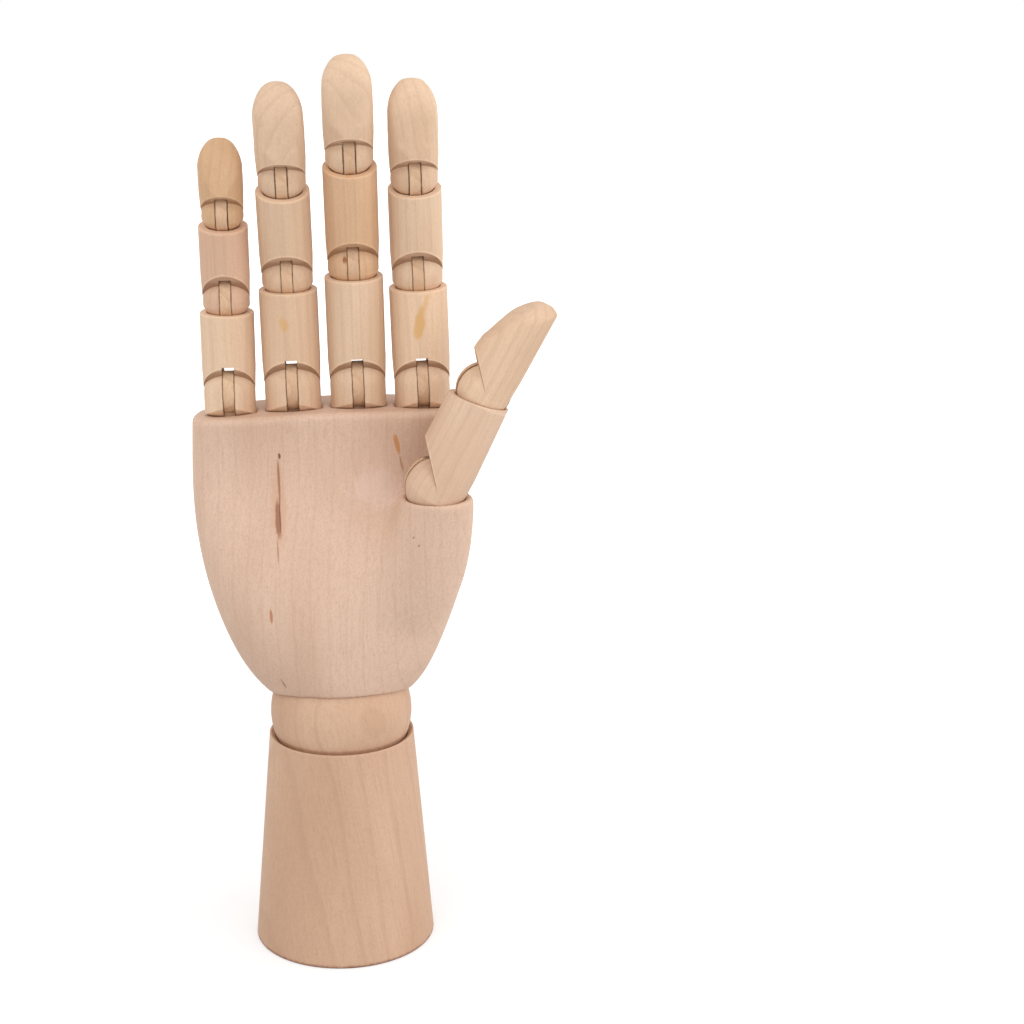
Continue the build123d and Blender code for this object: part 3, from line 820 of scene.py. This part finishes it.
class HAND_OT_bones(bpy.types.Operator):
    """Finishes the finger bones and thumb bones, and rounds the fingertips."""
    bl_idname = "hand.bones"
    bl_label = "Finger and Thumb Bones"

    def execute(self, context):
        sizes, colours, _ = settings(context)
        for number, (bone, bone_frame) in enumerate(BONE_FRAMES.items()):
            turn = PITH_TURN * number
            pith = (PITH_REACH * math.sin(turn), PITH_REACH * math.cos(turn), PITH_SHIFT * number)
            bright = 1.0 + BRIGHT_SWAY[0] * math.sin(BRIGHT_SWAY[1] * number)
            warm = WARM_SWAY[0] * math.sin(WARM_SWAY[1] * number)
            colour = darker(BONE_TINTS.get(bone, colours.finger), bright, warm)
            notch, half_pin, rim = bone_cuts(bone)
            # A painted highlight along the edge of the rim under the next knuckle
            rims = [(rim, 0.8, darker(colour, 1.14, -0.02), 0.55)] if rim else []
            finish = wood(
                f"{bone}_wood", colour, bone_frame, pith, ring_spacing=2.6, wander=6.0, ring_start=0.55,
                ring_depth=0.2, fibre_depth=0.2, fleck_depth=0.08, speck_depth=0.28,
                marks=BONE_MARKS.get(bone, ()), rims=rims, notch=notch, half_pin=half_pin)
            if not bone.endswith("distal"):
                dress(frame["nodes"][bone], finish)
                continue
            piece = even_copy(bone, f"{bone}_rounded", sizes.tip_grid)
            points = points_of(piece.data)
            pad = THUMB_PAD if bone == "thumb_distal" else None
            slot_top = half_pin + SLOT_ABOVE_PIN
            points = round_tip(piece.data, points, bone_frame, sizes.tip_rounds, slot_top, pad)
            dress(piece, finish)
            keep(piece, points, bone, bone)
        return {"FINISHED"}


class HAND_OT_hardware(bpy.types.Operator):
    """Finishes the tongues and pins of the joints, and winds the spring in the wrist."""
    bl_idname = "hand.hardware"
    bl_label = "Tongues, Pins and Spring"

    def execute(self, context):
        sizes, colours, _ = settings(context)
        for number, (bone, bone_frame) in enumerate(BONE_FRAMES.items()):
            strip = wood(
                f"{bone}_tongue_wood", colours.strip, bone_frame, (9, 25, 31.0 * number), ring_spacing=1.6,
                wander=3.0, ring_start=0.4, ring_depth=0.3, fibre_depth=0.3, fleck_depth=0.2,
                speck_depth=0.3, tongue=HALF_TONGUE)
            dress(frame["nodes"][f"{bone}_tongue"], strip)
        wire = steel("drawn_wire", colours.steel)
        for name, piece in frame["nodes"].items():
            if name.endswith("_pin") or name == "spring_crossbar":
                dress(piece, wire)
        self.wind_spring(sizes, wire)
        return {"FINISHED"}

    def wind_spring(self, sizes, finish):
        """Close-wound spring with a loop at each end."""
        low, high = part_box("tension_spring")
        wire = sizes.wire
        radius = (high.x - low.x) / 2 - wire / 2
        loop = 2 * radius + wire
        start, stop = low.z + loop, high.z - loop
        low_eye, high_eye = low.z + wire / 2 + radius, high.z - wire / 2 - radius
        turns = int((stop - start) / (wire * COIL_PITCH))
        steps = turns * COIL_SIDES
        path = []
        for i in range(LOW_LOOP_STEPS + 1):
            angle = math.radians(LOOP_STEP * i) - math.pi / 2
            path.append((radius * math.cos(angle), 0, low_eye + radius * math.sin(angle)))
        for i in range(steps + 1):
            angle = 2 * math.pi * i / COIL_SIDES
            rise = (stop - start) * i / steps
            path.append((radius * math.cos(angle), radius * math.sin(angle), start + rise))
        for i in range(HIGH_LOOP_STEPS + 1):
            angle = math.radians(LOOP_STEP * i)
            path.append((radius * math.cos(angle), 0, high_eye + radius * math.sin(angle)))
        piece = tube("tension_spring_coils", path, wire / 2)
        dress(piece, finish)
        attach(piece, "spring_core")
        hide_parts("tension_spring")


# Floor of the stage in metres: half its side, its gap below the base, and where its brightness fades to white
FLOOR_HALF = 4.0
FLOOR_GAP = 0.02 * MM
FLOOR_FADE = (0.12, 0.5)
FLOOR_GREY = (0.62, 0.62, 0.62, 1)
FLOOR_LIFT = (0.44, 0.44, 0.44, 1)
WHITE = (1, 1, 1, 1)
BLACK = (0, 0, 0, 1)
ROOM_LIGHT = 0.77
LAMP_AIM = Vector((0, 0, 0.14))
# Each lamp: name, place in metres, side in metres, power in watts
LAMPS = (
    ("key_light", (-0.4, -0.9, 1.2), 1.0, 4.8),
    ("fill_light", (0.7, -0.95, 0.6), 1.0, 3.8),
    ("left_light", (-1.1, -0.1, 0.35), 0.8, 1.6),
    ("right_light", (1.1, -0.1, 0.35), 0.8, 3.4),
)


class HAND_OT_stage(bpy.types.Operator):
    """Sets the floor, the soft light and the camera."""
    bl_idname = "hand.stage"
    bl_label = "Floor, Light and Camera"

    def execute(self, context):
        stage = settings(context)[2]
        self.make_floor()
        self.make_world(context.scene)
        for name, place, size, power in LAMPS:
            self.make_lamp(name, place, size, power)
        self.make_camera(context.scene, stage)
        context.scene.view_settings.view_transform = "Standard"
        return {"FINISHED"}

    def seen(self, tree):
        """1 for what the camera sees straight, in a mirror or through glass."""
        path = tree.nodes.new("ShaderNodeLightPath")
        seen = sums(tree, "MAXIMUM", path.outputs["Is Camera Ray"], path.outputs["Is Glossy Ray"])
        return sums(tree, "MAXIMUM", seen, path.outputs["Is Transmission Ray"])

    def make_floor(self):
        """White floor that takes a faint shadow near the base."""
        mesh = bpy.data.meshes.new("floor")
        half = FLOOR_HALF
        mesh.from_pydata([(-half, -half, 0), (half, -half, 0), (half, half, 0), (-half, half, 0)],
                         [], [(0, 1, 2, 3)])
        floor = bpy.data.objects.new("floor", mesh)
        floor.location.z = -FLOOR_GAP
        bpy.context.scene.collection.objects.link(floor)
        made = bpy.data.materials.new("floor_white")
        made.use_nodes = True
        tree = made.node_tree
        shader = tree.nodes["Principled BSDF"]
        shader.inputs["Base Color"].default_value = FLOOR_GREY
        shader.inputs["Roughness"].default_value = 0.9
        shader.inputs["Specular IOR Level"].default_value = 0.0
        place = tree.nodes.new("ShaderNodeTexCoord").outputs["Object"]
        away = vectors(tree, "LENGTH", place).outputs["Value"]
        fade = spread(tree, away, *FLOOR_FADE)
        lift = blend_colours(tree, fade, FLOOR_LIFT, WHITE)
        glow = blend_colours(tree, self.seen(tree), BLACK, lift)
        tree.links.new(glow, shader.inputs["Emission Color"])
        shader.inputs["Emission Strength"].default_value = 1.0
        mesh.materials.append(made)

    def make_world(self, scene):
        """White room, a little dimmer as a light than it looks."""
        world = bpy.data.worlds.new("soft_room")
        scene.world = world
        world.use_nodes = True
        tree = world.node_tree
        tree.nodes.clear()
        room = put(tree, "ShaderNodeBackground", {"Color": WHITE, "Strength": ROOM_LIGHT})
        white = put(tree, "ShaderNodeBackground", {"Color": WHITE, "Strength": 1.0})
        mixed = put(tree, "ShaderNodeMixShader", {
            0: self.seen(tree), 1: room.outputs[0], 2: white.outputs[0]})
        put(tree, "ShaderNodeOutputWorld", {"Surface": mixed.outputs[0]})

    def make_lamp(self, name, place, size, power):
        """Square soft lamp, aimed at the hand."""
        lamp = bpy.data.lights.new(name, "AREA")
        lamp.size = size
        lamp.energy = power
        made = bpy.data.objects.new(name, lamp)
        made.location = place
        made.rotation_euler = (LAMP_AIM - Vector(place)).to_track_quat("-Z", "Y").to_euler()
        bpy.context.scene.collection.objects.link(made)

    def make_camera(self, scene, stage):
        """Camera at the photograph's view."""
        forward = Vector((math.sin(stage.yaw) * math.cos(stage.pitch),
                          math.cos(stage.yaw) * math.cos(stage.pitch), -math.sin(stage.pitch)))
        right = Vector((math.cos(stage.yaw), -math.sin(stage.yaw), 0))
        down = forward.cross(right)
        turn, lean = math.cos(stage.roll), math.sin(stage.roll)
        right, down = turn * right + lean * down, turn * down - lean * right
        lens = bpy.data.cameras.new("photo_camera")
        lens.sensor_fit = "HORIZONTAL"
        lens.sensor_width = 36.0
        lens.lens = stage.lens
        lens.clip_start = 0.01
        camera = bpy.data.objects.new("photo_camera", lens)
        turned = Matrix((right, -down, -forward)).transposed().to_4x4()
        camera.matrix_world = Matrix.Translation(stage.eye) @ turned
        scene.collection.objects.link(camera)
        scene.camera = camera


class HAND_PT_panel(bpy.types.Panel):
    """Lists the settings and the pieces of the hand."""
    bl_idname = "HAND_PT_panel"
    bl_label = "Wooden Hand"
    bl_space_type = "VIEW_3D"
    bl_region_type = "UI"
    bl_category = "Hand"

    def draw(self, context):
        for group in settings(context):
            column = self.layout.column(align=True)
            for name in group.__annotations__:
                column.prop(group, name)
        for operator in OPERATORS:
            self.layout.operator(operator.bl_idname)


OPERATORS = (HAND_OT_groups, HAND_OT_base, HAND_OT_palm, HAND_OT_bones, HAND_OT_hardware, HAND_OT_stage)
CLASSES = (HandSizes, HandColours, HandStage, *OPERATORS, HAND_PT_panel)


def register():
    for made in CLASSES:
        bpy.utils.register_class(made)
    bpy.types.Scene.hand_sizes = bpy.props.PointerProperty(type=HandSizes)
    bpy.types.Scene.hand_colours = bpy.props.PointerProperty(type=HandColours)
    bpy.types.Scene.hand_stage = bpy.props.PointerProperty(type=HandStage)


def unregister():
    del bpy.types.Scene.hand_stage
    del bpy.types.Scene.hand_colours
    del bpy.types.Scene.hand_sizes
    for made in reversed(CLASSES):
        bpy.utils.unregister_class(made)


def main():
    """Registers the classes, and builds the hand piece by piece."""
    register()
    bpy.ops.hand.groups()
    bpy.ops.hand.base()
    bpy.ops.hand.palm()
    bpy.ops.hand.bones()
    bpy.ops.hand.hardware()
    bpy.ops.hand.stage()


if __name__ == "__main__":
    main()
